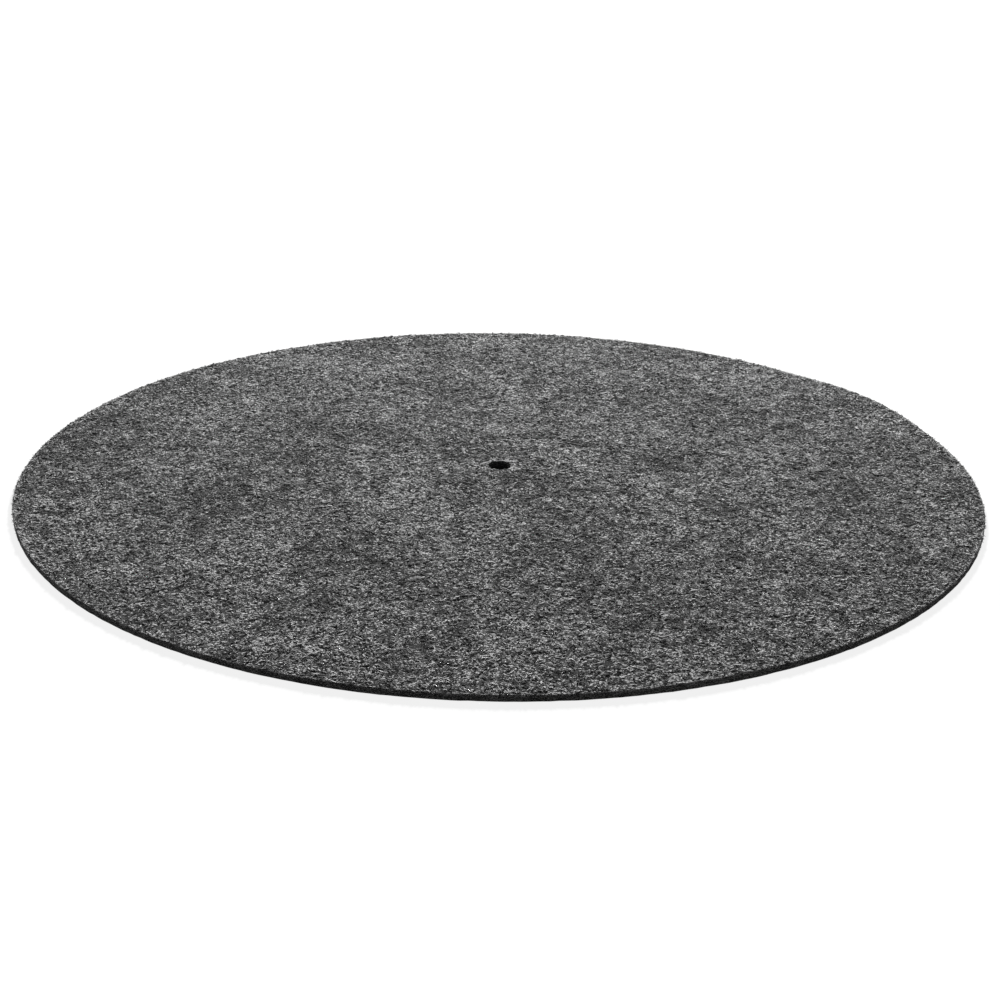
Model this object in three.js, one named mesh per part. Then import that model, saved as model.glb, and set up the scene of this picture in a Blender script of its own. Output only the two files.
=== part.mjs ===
// A felt mat for a record player's platter: one flat round of grey needle felt, die-cut from the sheet,
// with a punched hole at its centre for the platter's spindle.
// Millimetres, +Z up. The origin is on the hole's axis, at the underside that lies on the platter.
import * as THREE from "three";

// Driving dimensions
const matDiameter = 300; // a 12 inch platter's mat
const feltThickness = 1.8;
const spindleDiameter = 7.1; // the standard spindle of a record player
const spindleClearance = 0.05; // all round, between the spindle and the hole's wall
const cutEdgeRadius = 0.3; // how far the cut fibres relax at each edge of the felt
const mostEdgeShare = 0.45; // of the thickness, so that a straight cut wall stays between two edges

// Fineness of the round faces
const segmentsAround = 180;
const stepsPerEdge = 3;

const feltColour = 0x646464;
const feltRoughness = 0.95;

const holeRadius = spindleDiameter / 2 + spindleClearance;
const rimRadius = matDiameter / 2;
const softening = Math.min(cutEdgeRadius, feltThickness * mostEdgeShare);

// The points of one softened edge: a quarter round about a centre, from one angle to the next.
function softenedEdge(centreRadius, centreHeight, startAngle) {
  const points = [];
  for (let step = 0; step <= stepsPerEdge; step += 1) {
    const angle = startAngle + (Math.PI / 2) * (step / stepsPerEdge);
    points.push(
      new THREE.Vector2(
        centreRadius + softening * Math.cos(angle),
        centreHeight + softening * Math.sin(angle),
      ),
    );
  }
  return points;
}

// The felt's section on one side of the axis, as radius and height, closed on itself.
function feltSection() {
  const insideHole = holeRadius + softening;
  const insideRim = rimRadius - softening;
  const aboveUnderside = softening;
  const belowTop = feltThickness - softening;
  const outline = [
    ...softenedEdge(insideRim, aboveUnderside, -Math.PI / 2),
    ...softenedEdge(insideRim, belowTop, 0),
    ...softenedEdge(insideHole, belowTop, Math.PI / 2),
    ...softenedEdge(insideHole, aboveUnderside, Math.PI),
  ];
  outline.push(outline[0].clone());
  return outline;
}

// The mat is its section turned once about the spindle's axis.
function platterMat() {
  const geometry = new THREE.LatheGeometry(feltSection(), segmentsAround);
  geometry.rotateX(Math.PI / 2);
  const felt = new THREE.MeshStandardMaterial({
    color: feltColour,
    roughness: feltRoughness,
    metalness: 0,
  });
  const mat = new THREE.Mesh(geometry, felt);
  mat.name = "platter_mat";
  return mat;
}

const turntableMat = new THREE.Group();
turntableMat.add(platterMat());

export default turntableMat;
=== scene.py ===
import math

import bpy
from mathutils import Matrix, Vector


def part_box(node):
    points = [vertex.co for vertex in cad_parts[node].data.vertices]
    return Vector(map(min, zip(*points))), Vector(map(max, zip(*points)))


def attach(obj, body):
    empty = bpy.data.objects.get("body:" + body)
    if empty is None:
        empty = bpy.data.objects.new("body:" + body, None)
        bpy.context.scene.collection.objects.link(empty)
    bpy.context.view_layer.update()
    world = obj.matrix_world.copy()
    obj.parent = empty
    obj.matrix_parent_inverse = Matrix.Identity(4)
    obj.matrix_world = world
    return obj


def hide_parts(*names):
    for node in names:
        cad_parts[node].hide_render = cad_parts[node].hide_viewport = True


# A grey felt mat for a record player's platter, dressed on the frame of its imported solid
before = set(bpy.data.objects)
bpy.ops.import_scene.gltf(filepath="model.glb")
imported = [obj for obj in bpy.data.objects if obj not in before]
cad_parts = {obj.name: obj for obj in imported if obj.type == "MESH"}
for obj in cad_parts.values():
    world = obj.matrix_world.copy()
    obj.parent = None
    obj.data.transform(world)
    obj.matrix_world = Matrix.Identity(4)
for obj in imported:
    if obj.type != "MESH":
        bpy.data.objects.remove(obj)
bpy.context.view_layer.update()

# The mat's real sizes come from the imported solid, in metres. A size written in millimetres is times mm.
mm = 0.001
matNode = "platter_mat"
matLow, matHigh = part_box(matNode)
matRadius = matHigh.x
matThickness = matHigh.z - matLow.z
holeRadius = min(math.hypot(v.co.x, v.co.y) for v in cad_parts[matNode].data.vertices)
ownMap = "OFBake"  # the UV map that a piece's colours can be drawn through
mapEdge = 0.02  # the bare border of the fibres' map
mapWidth = 0.01  # of one fibre on its map
noiseSteps = (7.31, 3.17, 5.93)  # from one seed's part of the noise to the next, in its lumps
print("frame: mat %.1f mm across, %.2f mm thick" % (matRadius * 2 / mm, matThickness / mm))


class Wire:
    # An output socket that can stand in a sum: each + - * / on it adds a Math node to its tree.
    def __init__(self, tree, node, socket):
        self.tree = tree
        self.node = node
        self.socket = socket

    def __add__(self, other):
        return maths(self.tree, "ADD", self, other)

    def __sub__(self, other):
        return maths(self.tree, "SUBTRACT", self, other)

    def __mul__(self, other):
        return maths(self.tree, "MULTIPLY", self, other)

    def __truediv__(self, other):
        return maths(self.tree, "DIVIDE", self, other)

    def __pow__(self, other):
        return maths(self.tree, "POWER", self, other)

    def __rsub__(self, other):
        return maths(self.tree, "SUBTRACT", other, self)

    def __abs__(self):
        return maths(self.tree, "ABSOLUTE", self)

    __radd__ = __add__
    __rmul__ = __mul__

    def other(self, name):  # another output of the same node
        return Wire(self.tree, self.node, openSocket(self.node.outputs, name))


def openSocket(sockets, name):
    # A node keeps sockets of one name for each kind of data, and only the one in use is enabled.
    return next(s for s in sockets if name in (s.name, s.identifier) and s.enabled)


def add(tree, kind, settings=None, sockets=None):
    # Adds any node: its settings first, then the values or wires of its sockets.
    node = tree.nodes.new(kind)
    for name, value in (settings or {}).items():
        setattr(node, name, value)
    for name, value in (sockets or {}).items():
        socket = node.inputs[name] if isinstance(name, int) else openSocket(node.inputs, name)
        if isinstance(value, Wire):
            tree.links.new(value.socket, socket)
        else:
            socket.default_value = value
    return Wire(tree, node, next((s for s in node.outputs if s.enabled), None))


def maths(tree, operation, *values):
    return add(tree, "ShaderNodeMath", {"operation": operation}, dict(enumerate(values)))


def vectorMaths(tree, operation, *values):
    return add(tree, "ShaderNodeVectorMath", {"operation": operation}, dict(enumerate(values)))


def smoothBetween(value, low, high):  # 0 below low, 1 above high
    sockets = {"Value": value, "From Min": low, "From Max": high}
    return add(value.tree, "ShaderNodeMapRange", {"interpolation_type": "SMOOTHSTEP"}, sockets)


def least(value, other):
    return maths(value.tree, "MINIMUM", value, other)


def most(value, other):
    return maths(value.tree, "MAXIMUM", value, other)


def blendColours(tree, factor, first, second):
    return add(tree, "ShaderNodeMix", {"data_type": "RGBA"}, {"Factor": factor, "A": first, "B": second})


def noise(place, size, seed, detail=0.0, roughness=0.5, warp=0.0):
    # Soft lumps about size across, 0 to 1. Each seed looks at another part of the same noise.
    part = tuple(seed * step * size for step in noiseSteps)
    sockets = {
        "Vector": vectorMaths(place.tree, "ADD", place, part),
        "Scale": 1 / size,
        "Detail": detail,
        "Roughness": roughness,
        "Distortion": warp,
    }
    return add(place.tree, "ShaderNodeTexNoise", {}, sockets)


def grey(level):
    return (level, level, level, 1.0)


# The camera stands where the photograph was taken from, as the mat's outline and hole show.
# Its place is in mat radii.
photoCamera = {
    "lens": 58.54,  # mm, and so is the sensor's width
    "sensor": 36.0,
    "clip": (0.01, 50.0),  # metres
    "pitchDown": 22.22,  # degrees
    "roll": 0.845,
    "aside": 0.0022,
    "away": 3.2373,
    "above": 1.2436,
}


def setCamera(settings):
    data = bpy.data.cameras.new("photoCamera")
    data.lens = settings["lens"]
    data.sensor_width = settings["sensor"]
    data.clip_start, data.clip_end = settings["clip"]
    camera = bpy.data.objects.new("photoCamera", data)
    bpy.context.scene.collection.objects.link(camera)
    place = (
        settings["aside"] * matRadius,
        -settings["away"] * matRadius,
        settings["above"] * matRadius + matHigh.z,
    )
    tilt = Matrix.Rotation(math.radians(90 - settings["pitchDown"]), 4, "X")
    roll = Matrix.Rotation(math.radians(settings["roll"]), 4, "Z")
    camera.matrix_world = Matrix.Translation(place) @ tilt @ roll
    bpy.context.scene.camera = camera


# Grey needle felt, a blend of dark and light fibres. Sizes are in millimetres.
feltFinish = {
    "darkest": 0.009,  # how much light the darkest and the lightest fibres give back
    "lightest": 0.62,
    "baseTone": 0.05,
    "strandSize": 0.9,  # how far one bend of a lowest strand is from the next
    "strandGrowth": 0.12,  # how much larger each higher layer's bends are
    "strandWidth": 0.075,
    "strandShare": 0.8,  # of the tone
    "strandHeight": 0.49,
    "lowestLayer": 0.4,  # of the strands' height, with a step up for each layer
    "layerStep": 0.1,
    "layerTones": (0.45, 0.1, 0.7, 0.3, 0.12, 0.8, 0.55),  # from the lowest strands to the highest
    "grainSize": 0.56,
    "grainShare": 4.2,
    "grainHeight": 0.7,
    # painted shade: how much darker the nap's hollows and lighter its humps are painted
    "napShade": 0.4,
    "mottling": 1.4,
    "clumpSize": 2.4,
    "clumpShare": 0.6,
    "patchSize": 7.0,
    "patchShare": 0.68,
    "cloudSize": 28.0,
    "cloudShare": 0.42,
    "layering": 4.0,  # how much flatter the fibres' pattern lies in the cut edge
    "cutReach": (0.35, 0.1),  # how far from a cut edge its finish starts, and where it is full
    "cutPaintedLight": 1.6,  # painted light: the rim's cut edge is painted lighter than the faces beside it, standing in for fill light
    # painted shade: the hole's cut edge is painted darker than the faces beside it
    "holePaintedShade": 0.8,
    "twist": 0.8,  # how far a strand goes from dark to light along its length
    "twistScale": (60.0, 9.0, 0.0),  # from one strand's tone to the next, and along it
    "endShade": 0.15,  # painted shade: how much darker a strand's ends are painted, where they sink into the felt
    "roughness": 0.95,
    "gloss": 0.2,
    "sheen": 0.1,
    "sheenRoughness": 0.4,
}


def feltGrey(tone, settings):
    # A tone from 0 to 1 as the light that a fibre gives back, in even steps to the eye
    darkest = settings["darkest"]
    return maths(tone.tree, "POWER", settings["lightest"] / darkest, tone) * darkest


def strandLines(place, size, width, seed):
    # Thin curved lines where soft noise crosses its middle: 1 on a line, 0 off it
    level = noise(place, size, seed, detail=1.0, roughness=0.6, warp=0.5)
    return 1 - smoothBetween(abs(level - 0.5), 0.0, width)


def cloudiness(place, settings):
    # How much light fibre there is, in clumps, patches and wide clouds, about -0.5 to 0.5
    clumps = (noise(place, settings["clumpSize"], 6.0) - 0.5) * settings["clumpShare"]
    patches = (noise(place, settings["patchSize"], 3.0, detail=1.0) - 0.5) * settings["patchShare"]
    clouds = (noise(place, settings["cloudSize"], 5.0, detail=1.0) - 0.5) * settings["cloudShare"]
    return clumps + patches + clouds


def scaled(vector, factor):
    return add(vector.tree, "ShaderNodeVectorMath", {"operation": "SCALE"}, {0: vector, "Scale": factor})


def sumOf(*vectors):
    total = vectors[0]
    for vector in vectors[1:]:
        total = vectorMaths(total.tree, "ADD", total, vector)
    return total


def inMillimetres(place):
    return scaled(place, 1 / mm)


def levelled(place):
    return vectorMaths(place.tree, "MULTIPLY", place, (1.0, 1.0, 0.0))


def levelRadius(place):
    return vectorMaths(place.tree, "LENGTH", levelled(place)).other("Value")


# The felt's lumps, in millimetres. The fibres lie on the same lumps as the felt below them.
feltLumps = {
    "small": 0.16,
    "smallSize": 3.0,
    "wide": 0.12,
    "wideSize": 14.0,
    "sunk": 0.03,  # the middle of the lumps, below the felt's full thickness
    "nap": 0.65,
    "napSize": 1.9,
    "hollow": 0.16,  # how far the underside is lifted between its lowest spots
    "hollowSize": 5.0,
    "topFrom": 0.4,  # of the thickness, where the top's lumps start and the underside's end
    "undersideTo": 0.5,
    "fray": 0.5,  # how uneven the cut rim is
    "frayMiddle": 0.62,  # above 0.5, so that more of the rim is cut in than stands out
    "fraySize": 2.2,
    "frayReach": 1.0,
    "lip": 0.2,  # the punch left a raised lip behind the hole
    "lipStart": 0.3,  # from the hole's wall
    "lipSides": (0.0, 0.95),  # the sine of the way round the hole where it starts and where it is full
    "lipWidth": 1.6,
    "lipHighlight": 0.9,  # painted highlight: the lip's fibres are painted lighter, where the lamp's light falls on them
    "lipHighlightWidth": 4.4,
    "lipFront": 0.3,  # how much of the lip goes on in front of the hole
    "rimHighlight": 0.2,  # painted highlight: the fibres along the rim stand up and catch more light, so they are painted lighter
    "rimHighlightWidth": 1.5,
    "rise": 1.25,  # the far right of the rim doesn't lie quite flat
    "riseTurn": 27.0,  # degrees, from the right towards the back
    "riseWidth": 44.0,
}


def rimRise(place, settings):
    # How far the mat stands off the platter, in metres, at a place in millimetres
    turn = math.radians(settings["riseTurn"])
    highest = (math.cos(turn) * matRadius / mm, math.sin(turn) * matRadius / mm, 0.0)
    away = vectorMaths(place.tree, "DISTANCE", levelled(place), highest).other("Value")
    return (1 - smoothBetween(away, 0.0, settings["riseWidth"])) * (settings["rise"] * mm)


def topLift(place, settings):
    # How far the felt's top lies above or below its full thickness, in metres, at a place in millimetres
    flat = levelled(place)
    small = noise(flat, settings["smallSize"], 2.0, detail=2.0) * (2 * settings["small"])
    wide = noise(flat, settings["wideSize"], 4.0) * (2 * settings["wide"])
    lip = lipShare(place, settings, settings["lipWidth"]) * settings["lip"]
    return (small + wide + lip - settings["small"] - settings["wide"] - settings["sunk"]) * mm


def lipShare(place, settings, width):
    # 1 on the lip that the punch left behind the hole, less in front of it and 0 away from it
    nearHole = holeRadius / mm + settings["lipStart"]
    radius = levelRadius(place)
    behind = add(place.tree, "ShaderNodeSeparateXYZ", {}, {"Vector": place}).other("Y") / radius
    lip = 1 - smoothBetween(radius, nearHole, nearHole + width)
    front = settings["lipFront"]
    return lip * (smoothBetween(behind, *settings["lipSides"]) * (1 - front) + front)


def rimHighlightShare(place, settings):
    # 1 on the last of a face before the cut rim, where the painted highlight goes, 0 away from it
    width = settings["rimHighlightWidth"]
    return smoothBetween(levelRadius(place), matRadius / mm - width, matRadius / mm - width / 3)


def paintedHighlight(place, settings):
    # Painted highlight: how much lighter the fibres are painted on the lip and along the rim, where more
    # light falls
    lip = lipShare(place, settings, settings["lipHighlightWidth"])
    return lip * settings["lipHighlight"] + rimHighlightShare(place, settings) * settings["rimHighlight"]


def napHeight(place, settings):
    # The felt's finest lumps, about -0.25 to 0.25: the felt has them as a bump and the fibres lie on
    # them. Their hollows are also painted darker and their humps lighter, as painted shade.
    return noise(levelled(place), settings["napSize"], 12.0, detail=1.0) - 0.5


def makeFeltFinish(settings, lumps):
    material = bpy.data.materials.new("greyFelt")
    material.use_nodes = True
    tree = material.node_tree
    shader = tree.nodes["Principled BSDF"]
    place = inMillimetres(add(tree, "ShaderNodeTexCoord").other("Object"))
    apart = add(tree, "ShaderNodeSeparateXYZ", {}, {"Vector": place})
    radius = levelRadius(place)
    start, full = settings["cutReach"]
    atRim = smoothBetween(radius, matRadius / mm - start, matRadius / mm - full)
    atHole = 1 - smoothBetween(radius, holeRadius / mm + full, holeRadius / mm + start)
    cut = atRim + atHole
    # Both faces have one pattern, and it goes on down the cut edge
    layered = (apart.other("Z") - matThickness / mm / 2) * cut * settings["layering"]
    folded = {"X": apart.other("X"), "Y": apart.other("Y"), "Z": layered}
    place = add(tree, "ShaderNodeCombineXYZ", {}, folded)
    for layer, layerTone in enumerate(settings["layerTones"]):
        size = settings["strandSize"] * (1 + settings["strandGrowth"] * layer)
        over = strandLines(place, size, settings["strandWidth"], layer + 1.0)
        ridge = over * (settings["lowestLayer"] + settings["layerStep"] * layer)
        tone = over * layerTone if layer == 0 else tone + over * (layerTone - tone)
        lines = ridge if layer == 0 else most(lines, ridge)
    grain = noise(place, settings["grainSize"], 9.0, detail=1.0)
    nap = napHeight(place, lumps)
    tone = tone * settings["strandShare"] + (grain - 0.5) * settings["grainShare"] + settings["baseTone"]
    # Painted shade: the nap's hollows darker, its humps lighter
    tone = tone + cloudiness(place, settings) * settings["mottling"] + nap * settings["napShade"]
    # Painted highlight on the lip and along the rim, off the cut edges
    tone = tone + paintedHighlight(place, lumps) * (1 - cut)
    # Painted light and shade on the cut edges: the rim's edge is painted lighter, the hole's darker
    tone = tone * (1 - atRim * (1 - settings["cutPaintedLight"]) - atHole * (1 - settings["holePaintedShade"]))
    colour = feltGrey(least(most(tone, 0.0), 1.0), settings)
    tree.links.new(colour.socket, shader.inputs["Base Color"])
    height = lines * settings["strandHeight"] + grain * settings["grainHeight"] + nap * lumps["nap"]
    bump = add(tree, "ShaderNodeBump", {}, {"Height": height, "Distance": mm})
    tree.links.new(bump.socket, shader.inputs["Normal"])
    setFibreGloss(shader, settings)
    return material


def setFibreGloss(shader, settings):
    shader.inputs["Roughness"].default_value = settings["roughness"]
    shader.inputs["Specular IOR Level"].default_value = settings["gloss"]
    shader.inputs["Sheen Weight"].default_value = settings["sheen"]
    shader.inputs["Sheen Roughness"].default_value = settings["sheenRoughness"]


def makeFibreFinish(name, settings):
    # A fibre's tone is written across its map and the way along it is written up the map.
    material = bpy.data.materials.new(name)
    material.use_nodes = True
    tree = material.node_tree
    shader = tree.nodes["Principled BSDF"]
    spot = add(tree, "ShaderNodeUVMap", {"uv_map": ownMap})
    apart = add(tree, "ShaderNodeSeparateXYZ", {}, {"Vector": spot})
    tone = (apart.other("X") - mapEdge) / (1 - 2 * mapEdge)
    along = (apart.other("Y") - mapEdge) / (1 - 2 * mapEdge)
    ends = abs(along * 2 - 1) ** 3
    twist = noise(vectorMaths(tree, "MULTIPLY", spot, settings["twistScale"]), 1.0, 2.0, detail=1.0)
    # Painted shade at a strand's ends, where they sink into the felt
    tone = tone + (twist - 0.5) * settings["twist"] - ends * settings["endShade"]
    colour = feltGrey(least(most(tone, 0.0), 1.0), settings)
    tree.links.new(colour.socket, shader.inputs["Base Color"])
    setFibreGloss(shader, settings)
    return material


def newTree(name, inputs):
    # An empty geometry tree with a geometry in and out, returned with a wire for each named input
    tree = bpy.data.node_groups.new(name, "GeometryNodeTree")
    tree.interface.new_socket("Geometry", in_out="OUTPUT", socket_type="NodeSocketGeometry")
    tree.interface.new_socket("Geometry", in_out="INPUT", socket_type="NodeSocketGeometry")
    for label, value in inputs.items():
        kind = "NodeSocketInt" if isinstance(value, int) else "NodeSocketFloat"
        if isinstance(value, bpy.types.Material):
            kind = "NodeSocketMaterial"
        tree.interface.new_socket(label, in_out="INPUT", socket_type=kind)
    start = add(tree, "NodeGroupInput")
    wires = {label: start.other(label) for label in inputs}
    return tree, start, wires


def runTree(name, data, tree, inputs):
    # Runs the tree once on data and keeps what it makes as a plain mesh with nothing live on it.
    maker = bpy.data.objects.new(name + "Maker", data)
    bpy.context.scene.collection.objects.link(maker)
    modifier = maker.modifiers.new(name, "NODES")
    modifier.node_group = tree
    for item in tree.interface.items_tree:
        if item.in_out == "INPUT" and item.name in inputs:
            modifier[item.identifier] = inputs[item.name]
    graph = bpy.context.evaluated_depsgraph_get()
    made = maker.evaluated_get(graph)
    mesh = bpy.data.meshes.new_from_object(made, preserve_all_data_layers=True, depsgraph=graph)
    mesh.name = name
    bpy.data.objects.remove(maker)
    piece = bpy.data.objects.new(name, mesh)
    bpy.context.scene.collection.objects.link(piece)
    mesh.calc_loop_triangles()
    print(name, len(mesh.loop_triangles), "triangles")
    return piece


def endTree(tree, geometry, finish):
    body = add(tree, "GeometryNodeSetShadeSmooth", {}, {"Geometry": geometry, "Shade Smooth": True})
    body = add(tree, "GeometryNodeRealizeInstances", {}, {"Geometry": body})
    body = add(tree, "GeometryNodeSetMaterial", {}, {"Geometry": body, "Material": finish})
    add(tree, "NodeGroupOutput", {}, {"Geometry": body})


def capture(tree, geometry, values):
    # Keeps values on the points of a geometry. Returns the geometry and a wire to each kept value.
    node = tree.nodes.new("GeometryNodeCaptureAttribute")
    for name, value in values.items():
        node.capture_items.new("VECTOR" if value.socket.type == "VECTOR" else "FLOAT", name)
        tree.links.new(value.socket, node.inputs[name])
    tree.links.new(geometry.socket, node.inputs["Geometry"])
    kept = {name: Wire(tree, node, node.outputs[name]) for name in values}
    return Wire(tree, node, node.outputs["Geometry"]), kept


def keepMap(tree, geometry, across, up):
    spot = add(tree, "ShaderNodeCombineXYZ", {}, {"X": across, "Y": up})
    settings = {"data_type": "FLOAT2", "domain": "CORNER"}
    sockets = {"Geometry": geometry, "Name": ownMap, "Value": spot}
    return add(tree, "GeometryNodeStoreNamedAttribute", settings, sockets)


# The felt round: its section is turned about the spindle's axis, then its faces and cut edges get lumps.
feltRound = {
    "topSoftening": 0.22 * mm,  # the radius of the cut edges
    "undersideSoftening": 0.1 * mm,
    "softeningSteps": 3,
    "topStep": 1.8 * mm,
    "undersideStep": 3.4 * mm,
    "wallStep": 0.24 * mm,
    "aroundSteps": 440,
    "foldReach": (1.2 * mm, 0.4 * mm),  # from a cut edge, where its map starts to unfold and has unfolded
    "mapRoom": 2.02,  # the map's side, in radii of the unfolded felt
}


def feltSection(settings):
    # The points of the section, as radius and height, from the underside's rim round to the hole and back
    below, above = settings["undersideSoftening"], settings["topSoftening"]
    low, high = matLow.z + below, matHigh.z - above
    points = []

    def corner(radius, height, soft, start):
        for step in range(settings["softeningSteps"] + 1):
            angle = start + math.pi / 2 * step / settings["softeningSteps"]
            points.append((radius + soft * math.cos(angle), height + soft * math.sin(angle)))

    def straight(end, step):
        start = points[-1]
        count = max(1, round(math.dist(start, end) / step))
        for i in range(1, count):
            share = i / count
            radius = start[0] + (end[0] - start[0]) * share
            height = start[1] + (end[1] - start[1]) * share
            points.append((radius, height))

    corner(matRadius - below, low, below, -math.pi / 2)
    straight((matRadius, high), settings["wallStep"])
    corner(matRadius - above, high, above, 0.0)
    straight((holeRadius + above, matHigh.z), settings["topStep"])
    corner(holeRadius + above, high, above, math.pi / 2)
    straight((holeRadius, low), settings["wallStep"])
    corner(holeRadius + below, low, below, math.pi)
    straight((matRadius - below, matLow.z), settings["undersideStep"])
    return points


def feltSectionCurve(settings):
    curve = bpy.data.curves.new("feltSection", "CURVE")
    curve.dimensions = "3D"
    section = reversed(feltSection(settings))
    points = [(radius - holeRadius, -height, 0.0, 1.0) for radius, height in section]
    spline = curve.splines.new("POLY")
    spline.points.add(len(points) - 1)
    for point, place in zip(spline.points, points):
        point.co = place
    spline.use_cyclic_u = True
    return curve


def makeFeltRound(settings, lumps, finish):
    inputs = {
        "Path radius": holeRadius,
        "Steps around": settings["aroundSteps"],
        "Finish": finish,
    }
    tree, start, wires = newTree("turnedFelt", inputs)
    circle = {"Resolution": wires["Steps around"], "Radius": wires["Path radius"]}
    path = add(tree, "GeometryNodeCurvePrimitiveCircle", {"mode": "RADIUS"}, circle)
    section = start.other("Geometry")
    body = add(tree, "GeometryNodeCurveToMesh", {}, {"Curve": path, "Profile Curve": section})
    place = add(tree, "GeometryNodeInputPosition")
    height = add(tree, "ShaderNodeSeparateXYZ", {}, {"Vector": place}).other("Z")
    radius = levelRadius(place)
    outward = vectorMaths(tree, "NORMALIZE", levelled(place))

    # The map unfolds the cut edges outward round the rim and inward in the hole
    depth = least(height, matThickness - height)
    foldFrom, foldTo = settings["foldReach"]
    rimness = smoothBetween(radius, matRadius - foldFrom, matRadius - foldTo)
    holeness = 1 - smoothBetween(radius, holeRadius + foldTo, holeRadius + foldFrom)
    unfolded = scaled(outward, radius + depth * (rimness - holeness))
    spot = add(tree, "ShaderNodeSeparateXYZ", {}, {"Vector": unfolded})
    mapSize = settings["mapRoom"] * (matRadius + matThickness / 2)
    body = keepMap(tree, body, spot.other("X") / mapSize + 0.5, spot.other("Y") / mapSize + 0.5)

    millimetres = inMillimetres(place)
    topness = smoothBetween(height, matThickness * lumps["topFrom"], matThickness)
    hollows = noise(millimetres, lumps["hollowSize"], 6.0, detail=1.0) * (lumps["hollow"] * mm)
    nearRim = smoothBetween(radius, matRadius - lumps["frayReach"] * mm, matRadius)
    bottomness = (1 - smoothBetween(height, 0.0, matThickness * lumps["undersideTo"])) * (1 - nearRim)
    lift = topness * topLift(millimetres, lumps) + bottomness * hollows + rimRise(millimetres, lumps)
    uneven = noise(millimetres, lumps["fraySize"], 8.0, detail=2.0) - lumps["frayMiddle"]
    fray = nearRim * uneven * (lumps["fray"] * mm)
    offset = sumOf(add(tree, "ShaderNodeCombineXYZ", {}, {"Z": lift}), scaled(outward, fray))
    body = add(tree, "GeometryNodeSetPosition", {}, {"Geometry": body, "Offset": offset})
    endTree(tree, body, wires["Finish"])
    return runTree("felt_round", feltSectionCurve(settings), tree, inputs)


# The matted strands that lie on the felt's top, bent in plan, with both ends sunk in the felt.
# Lengths are in metres, tones from 0 dark to 1 light.
topStrands = {
    "name": "top_strands",
    "onTop": True,
    "pieces": 4,
    "count": 15100,  # of strands in a piece
    "rings": 4,  # of points along a strand
    "ranges": {
        "half length": (0.55 * mm, 1.45 * mm),
        "width": (0.08 * mm, 0.22 * mm),
        "bend": (-0.55, 0.55),
        "wave": (-0.4, 0.4),
        "rise": (0.12 * mm, 0.6 * mm),
    },
    "tones": (0.0, 0.87),
    "sink": 0.15 * mm,  # of their ends, below the felt's top
    "flatness": 0.8,
    "mottling": 1.7,
    # painted shade in the nap's hollows
    "napShade": 0.4,
}


# Loose fibres that lie across the matted ones.
looseFibres = {
    "name": "loose_fibres",
    "onTop": True,
    "pieces": 1,
    "count": 1300,
    "rings": 6,
    "ranges": {
        "half length": (1.2 * mm, 3.2 * mm),
        "width": (0.03 * mm, 0.055 * mm),
        "bend": (-0.9, 0.9),
        "wave": (-0.9, 0.9),
        "rise": (0.35 * mm, 0.75 * mm),
    },
    "tones": (0.35, 0.9),
    "sink": 0.1 * mm,
    "flatness": 1.0,
    "mottling": 0.5,
    "napShade": 0.0,
}

# The underside's strands are pressed flat by the platter.
undersideStrands = {
    "name": "underside_strands",
    "onTop": False,
    "pieces": 1,
    "count": 5400,
    "rings": 4,
    "ranges": {
        "half length": (0.7 * mm, 1.9 * mm),
        "width": (0.09 * mm, 0.17 * mm),
        "bend": (-0.8, 0.8),
        "wave": (-0.5, 0.5),
        "rise": (0.2 * mm, 0.4 * mm),
    },
    "tones": (0.24, 0.98),
    "flatness": 0.6,
    "mottling": 1.2,
    "napShade": 0.0,
}


# What the strands of all kinds share
levelFace = 0.7  # how level a face is that they lie on, and 1 is quite level
bendMiddle = 0.33  # keeps a bent strand about its own point
toneSplit = (0.25, 0.6)  # the share of strands that are dark, and where the light ones begin


def rangeInputs(ranges):
    # A named input of a tree for the least and the most of each size
    inputs = {}
    for name, (low, high) in ranges.items():
        inputs["Least " + name] = low
        inputs["Most " + name] = high
    return inputs


def randomBetween(tree, low, high, seed):
    sockets = {"Min": low, "Max": high, "Seed": seed}
    return add(tree, "FunctionNodeRandomValue", {"data_type": "FLOAT"}, sockets)


def ownSizes(tree, wires, ranges):
    # Sizes for each fibre of its own, between the least and the most
    sizes = {}
    for seed, name in enumerate(ranges):
        sizes[name] = randomBetween(tree, wires["Least " + name], wires["Most " + name], seed)
    return sizes


def unitStrand(tree, rings):
    # A closed three-sided strand that tapers to a point at both ends. It is 2 long and about 2 across,
    # and its map keeps the way along it and round it.
    grid = {"Size X": 2.0, "Size Y": 1.0, "Vertices X": rings, "Vertices Y": 4}
    sheet = add(tree, "GeometryNodeMeshGrid", {}, grid)
    spot = add(tree, "ShaderNodeSeparateXYZ", {}, {"Vector": sheet.other("UV Map")})
    body = keepMap(tree, sheet, spot.other("Y"), spot.other("X"))
    place = add(tree, "ShaderNodeSeparateXYZ", {}, {"Vector": add(tree, "GeometryNodeInputPosition")})
    along = place.other("X")
    angle = place.other("Y") * (2 * math.pi)
    slimming = 1.6  # the larger, the nearer to its ends a strand starts to taper
    taper = least((1 - abs(along)) * slimming, 1.0)
    across = maths(tree, "SINE", angle) * taper
    up = maths(tree, "COSINE", angle) * taper
    shaped = add(tree, "ShaderNodeCombineXYZ", {}, {"X": along, "Y": across, "Z": up})
    body = add(tree, "GeometryNodeSetPosition", {}, {"Geometry": body, "Position": shaped})
    body = add(tree, "GeometryNodeMergeByDistance", {}, {"Geometry": body, "Distance": 0.001})
    return body


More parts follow.
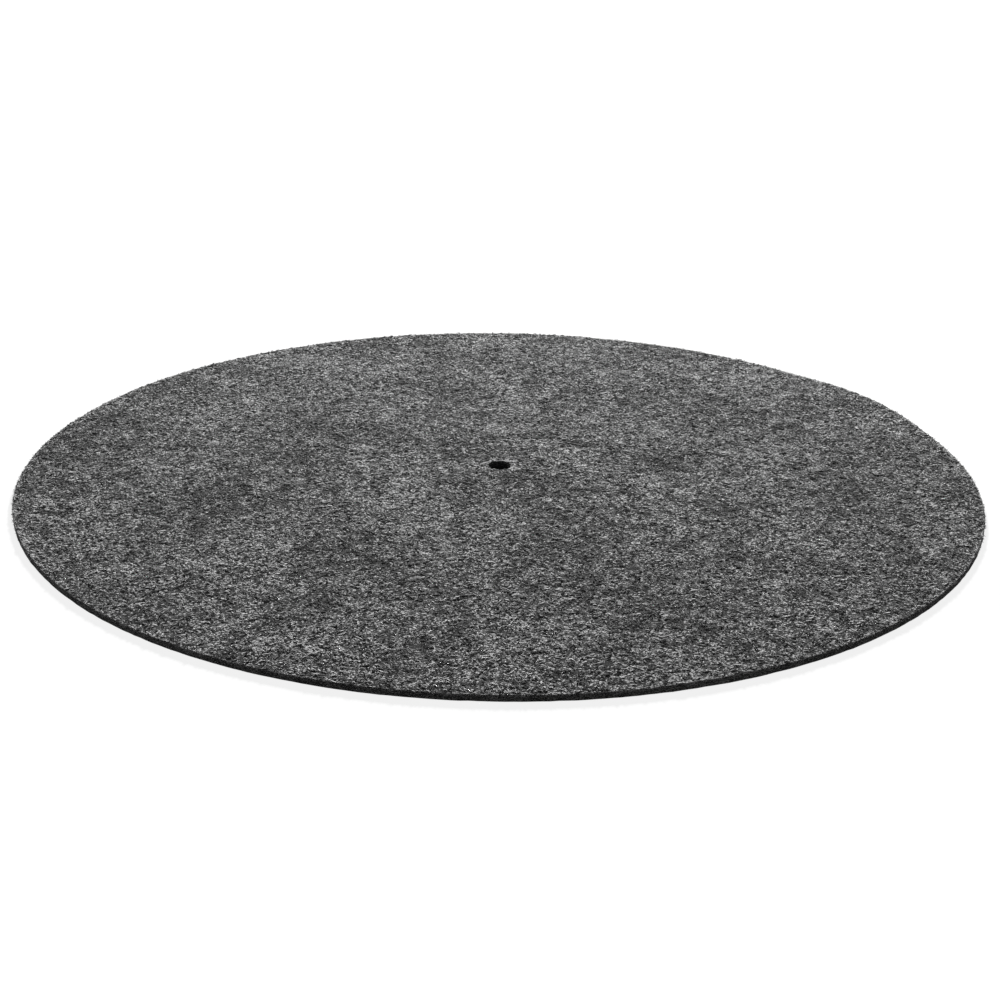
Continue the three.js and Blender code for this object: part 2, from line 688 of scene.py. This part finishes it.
def strandOnEach(tree, points, rings):
    # A unit strand for each point, returned with a wire to the unit's own place of each of its points
    unit, kept = capture(tree, unitStrand(tree, rings), {"shape": add(tree, "GeometryNodeInputPosition")})
    body = add(tree, "GeometryNodeInstanceOnPoints", {}, {"Points": points, "Instance": unit})
    body = add(tree, "GeometryNodeRealizeInstances", {}, {"Geometry": body})
    return body, add(tree, "ShaderNodeSeparateXYZ", {}, {"Vector": kept["shape"]})


def keepFibreMap(tree, geometry, tone):
    # Puts the unit strand's own map at its fibre's place in the finish: the tone across, the way along up
    spot = add(tree, "GeometryNodeInputNamedAttribute", {"data_type": "FLOAT_VECTOR"}, {"Name": ownMap})
    spot = add(tree, "ShaderNodeSeparateXYZ", {}, {"Vector": spot})
    inside = 1 - 2 * mapEdge
    across = tone * inside + mapEdge + spot.other("X") * mapWidth
    return keepMap(tree, geometry, across, spot.other("Y") * inside + mapEdge)


def makeStrands(settings, lumps, finish, ground, seed):
    inputs = {"Seed": seed, "Strands per square metre": settings["count"] / feltArea, "Finish": finish}
    inputs.update(rangeInputs(settings["ranges"]))
    tree, start, wires = newTree("strands", inputs)
    normal = add(tree, "ShaderNodeSeparateXYZ", {}, {"Vector": add(tree, "GeometryNodeInputNormal")})
    facing = normal.other("Z") if settings["onTop"] else normal.other("Z") * -1
    chosen = add(tree, "FunctionNodeCompare", {"operation": "GREATER_THAN"}, {0: facing, 1: levelFace})
    spread = {
        "Mesh": start.other("Geometry"),
        "Selection": chosen,
        "Density": wires["Strands per square metre"],
        "Seed": wires["Seed"],
    }
    points = add(tree, "GeometryNodeDistributePointsOnFaces", {"distribute_method": "RANDOM"}, spread)

    own = ownSizes(tree, wires, settings["ranges"])
    own["turn"] = randomBetween(tree, 0.0, 2 * math.pi, 11)
    own["lightness"] = randomBetween(tree, 0.0, 1.0, 12)
    own["centre"] = add(tree, "GeometryNodeInputPosition")
    points, own = capture(tree, points, own)

    body, local = strandOnEach(tree, points, settings["rings"])

    # A strand that would reach past a cut edge is shortened there, as the die cuts it
    centre = add(tree, "ShaderNodeSeparateXYZ", {}, {"Vector": own["centre"]})
    radius = levelRadius(own["centre"])
    cosine = maths(tree, "COSINE", own["turn"])
    sine = maths(tree, "SINE", own["turn"])
    towardsCut = (centre.other("X") * cosine + centre.other("Y") * sine) / radius
    space = least(matRadius - radius, radius - holeRadius)
    leastSpace = 0.1 * mm
    leastShare = 0.05  # so that a strand along the rim isn't divided by nothing
    half = least(own["half length"], most(space, leastSpace) / most(abs(towardsCut), leastShare))

    way = local.other("X")
    bend, wave = own["bend"], own["wave"]
    sideways = half * (bend * (way * way - bendMiddle) + wave * way * (way * way - 1))
    slope = bend * way * 2 + wave * (way * way * 3 - 1)
    norm = (slope * slope + 1) ** 0.5
    width = own["width"] * local.other("Y")
    x = half * way - width * slope / norm
    y = sideways + width / norm
    placeX = centre.other("X") + x * cosine - y * sine
    placeY = centre.other("Y") + x * sine + y * cosine
    level = add(tree, "ShaderNodeCombineXYZ", {}, {"X": placeX, "Y": placeY})
    thickness = own["width"] * settings["flatness"]
    if settings["onTop"]:
        nap = napHeight(inMillimetres(level), lumps) * (lumps["nap"] * mm)
        feltTop = matHigh.z + topLift(inMillimetres(level), lumps) + nap
        placeZ = feltTop - settings["sink"] + own["rise"] * (1 - way * way)
    else:
        placeZ = matLow.z + thickness + own["rise"] * way * way
    placeZ = placeZ + thickness * local.other("Z") + rimRise(inMillimetres(level), lumps)
    shaped = add(tree, "ShaderNodeCombineXYZ", {}, {"X": placeX, "Y": placeY, "Z": placeZ})
    body = add(tree, "GeometryNodeSetPosition", {}, {"Geometry": body, "Position": shaped})

    # Most fibres are either dark or light
    dark, light = settings["tones"]
    middle = inMillimetres(own["centre"])
    tone = dark + smoothBetween(own["lightness"], *toneSplit) * (light - dark)
    tone = tone + cloudiness(middle, feltFinish) * settings["mottling"]
    # Painted shade: darker in the nap's hollows, lighter on its humps
    tone = tone + napHeight(middle, lumps) * settings["napShade"]
    # Painted highlight on the lip and along the rim
    tone = least(most(tone + paintedHighlight(middle, lumps), 0.0), 1.0)
    body = keepFibreMap(tree, body, tone)
    endTree(tree, body, wires["Finish"])
    number = "_%d" % seed if settings["pieces"] > 1 else ""
    return runTree(settings["name"] + number, ground, tree, inputs)


# The fuzz of fibre ends at the cut edges: each fibre leaves the felt at its root and curls.
edgeFuzz = {
    "density": 5.5e6,  # fibres for each square metre of cut edge
    "rings": 4,
    "ranges": {
        "half length": (0.15 * mm, 0.45 * mm),
        "width": (0.03 * mm, 0.07 * mm),
        "outward": (0.15, 0.6),
        "side": (-1.0, 1.0),
        "lift": (-0.3, 0.5),
        "curl": (-0.7, 0.7),
        "tone": (0.35, 1.0),
    },
    "sink": 0.1 * mm,
    "fromHeight": 0.5,  # of the felt: the fuzz is on the edge's upper part, where the die pressed least
    "fullHeight": 0.8,
    "levelFaces": (0.75, 0.9),  # how level a face is where the fuzz thins out, and where it has ended
}


def makeFuzz(settings, finish, ground):
    inputs = {"Seed": 21, "Fibres per square metre": settings["density"], "Finish": finish}
    inputs.update(rangeInputs(settings["ranges"]))
    tree, start, wires = newTree("fuzz", inputs)
    place = add(tree, "GeometryNodeInputPosition")
    normal = add(tree, "GeometryNodeInputNormal")
    level = add(tree, "ShaderNodeSeparateXYZ", {}, {"Vector": normal}).other("Z")
    height = add(tree, "ShaderNodeSeparateXYZ", {}, {"Vector": place}).other("Z")
    lowest = matThickness * settings["fromHeight"]
    edge = smoothBetween(height, lowest, matThickness * settings["fullHeight"])
    chosen = edge * (1 - smoothBetween(abs(level), *settings["levelFaces"]))
    spread = {
        "Mesh": start.other("Geometry"),
        "Density": wires["Fibres per square metre"] * chosen,
        "Seed": wires["Seed"],
    }
    points = add(tree, "GeometryNodeDistributePointsOnFaces", {"distribute_method": "RANDOM"}, spread)
    own = ownSizes(tree, wires, settings["ranges"])
    own["root"] = place
    own["normal"] = points.other("Normal")
    points, own = capture(tree, points, own)
    body, local = strandOnEach(tree, points, settings["rings"])

    up = (0.0, 0.0, 1.0)
    around = vectorMaths(tree, "NORMALIZE", vectorMaths(tree, "CROSS_PRODUCT", own["normal"], up))
    rising = add(tree, "ShaderNodeCombineXYZ", {}, {"Z": own["lift"]})
    way = sumOf(scaled(own["normal"], own["outward"]), scaled(around, own["side"]), rising)
    way = vectorMaths(tree, "NORMALIZE", way)
    across = vectorMaths(tree, "NORMALIZE", vectorMaths(tree, "CROSS_PRODUCT", way, up))
    over = vectorMaths(tree, "CROSS_PRODUCT", across, way)
    along = local.other("X") + 1
    curled = along * along * own["half length"] * own["curl"] * 0.5
    shaped = sumOf(
        own["root"],
        scaled(own["normal"], -settings["sink"]),
        scaled(way, along * own["half length"]),
        scaled(across, curled + local.other("Y") * own["width"]),
        scaled(over, local.other("Z") * own["width"]),
    )
    body = add(tree, "GeometryNodeSetPosition", {}, {"Geometry": body, "Position": shaped})
    body = keepFibreMap(tree, body, own["tone"])
    endTree(tree, body, wires["Finish"])
    return runTree("edge_fuzz", ground, tree, inputs)


setCamera(photoCamera)
feltArea = math.pi * (matRadius**2 - holeRadius**2)
feltColours = makeFeltFinish(feltFinish, feltLumps)
felt = makeFeltRound(feltRound, feltLumps, feltColours)
fibreColours = makeFibreFinish("greyFibre", feltFinish)
fibres = [makeFuzz(edgeFuzz, fibreColours, felt.data)]
for settings in (topStrands, looseFibres, undersideStrands):
    for piece in range(settings["pieces"]):
        fibres.append(makeStrands(settings, feltLumps, fibreColours, felt.data, piece + 1))
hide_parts(matNode)
for piece in [felt] + fibres:
    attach(piece, "root")
print("felt made")


# A floor and a world that show white to the camera, and a softbox that lights the felt at a plain level
studio = {
    "floorSize": 30.0,
    "floorGap": 0.02 * mm,
    "floorColour": 0.18,
    "paintedShadeColour": 0.03,  # painted shade: the floor below the mat is dark, where the hole shows only shade
    "paintedShadeReach": (0.3, 0.4),  # in mat radii, from the painted shade to the floor's colour
    "floorGlow": 0.85,
    "farGlow": 0.4,  # more glow away from the mat
    "farReach": (1.05, 1.8),  # in mat radii
    "worldLevel": 0.12,
    "boxPower": 42.0,
    "boxSize": 0.2,
    "boxPlace": (0.06, 1.2, 0.6),
}


def seenDirectly(tree):  # 1 for what the camera sees, straight, in gloss or through glass
    path = add(tree, "ShaderNodeLightPath")
    seen = most(path.other("Is Camera Ray"), path.other("Is Glossy Ray"))
    return most(seen, path.other("Is Transmission Ray"))


def makeFloor(settings):
    material = bpy.data.materials.new("paleFloor")
    material.use_nodes = True
    tree = material.node_tree
    shader = tree.nodes["Principled BSDF"]
    output = tree.nodes["Material Output"]
    place = add(tree, "ShaderNodeTexCoord").other("Object")
    radius = levelRadius(place) / matRadius
    # Painted shade below the mat: the floor is dark there and doesn't glow
    shown = smoothBetween(radius, *settings["paintedShadeReach"])
    colour = blendColours(tree, shown, grey(settings["paintedShadeColour"]), grey(settings["floorColour"]))
    tree.links.new(colour.socket, shader.inputs["Base Color"])
    shader.inputs["Roughness"].default_value = 1.0
    shader.inputs["Specular IOR Level"].default_value = 0.0
    far = smoothBetween(radius, *settings["farReach"])
    strength = seenDirectly(tree) * shown * (settings["floorGlow"] + far * settings["farGlow"])
    glow = add(tree, "ShaderNodeEmission", {}, {"Color": grey(1.0), "Strength": strength})
    both = add(tree, "ShaderNodeAddShader", {}, {0: Wire(tree, shader, shader.outputs[0]), 1: glow})
    tree.links.new(both.socket, output.inputs["Surface"])
    half = settings["floorSize"] / 2
    corners = [(-half, -half, 0), (half, -half, 0), (half, half, 0), (-half, half, 0)]
    mesh = bpy.data.meshes.new("floor")
    mesh.from_pydata(corners, [], [(0, 1, 2, 3)])
    mesh.materials.append(material)
    floor = bpy.data.objects.new("floor", mesh)
    floor.location.z = matLow.z - settings["floorGap"]
    bpy.context.scene.collection.objects.link(floor)


def makeWorld(settings):
    world = bpy.data.worlds.new("studio")
    world.use_nodes = True
    tree = world.node_tree
    background = tree.nodes["Background"]
    seen = seenDirectly(tree)
    strength = seen + (1 - seen) * settings["worldLevel"]
    tree.links.new(strength.socket, background.inputs["Strength"])
    background.inputs["Color"].default_value = grey(1.0)
    bpy.context.scene.world = world


def makeLamps(settings):
    data = bpy.data.lights.new("softbox", "AREA")
    data.energy = settings["boxPower"]
    data.size = settings["boxSize"]
    lamp = bpy.data.objects.new("softbox", data)
    bpy.context.scene.collection.objects.link(lamp)
    lamp.location = settings["boxPlace"]
    towards = -lamp.location
    lamp.rotation_mode = "QUATERNION"
    lamp.rotation_quaternion = towards.to_track_quat("-Z", "Y")


makeFloor(studio)
makeWorld(studio)
makeLamps(studio)
bpy.context.scene.view_settings.view_transform = "Standard"
print("studio made")
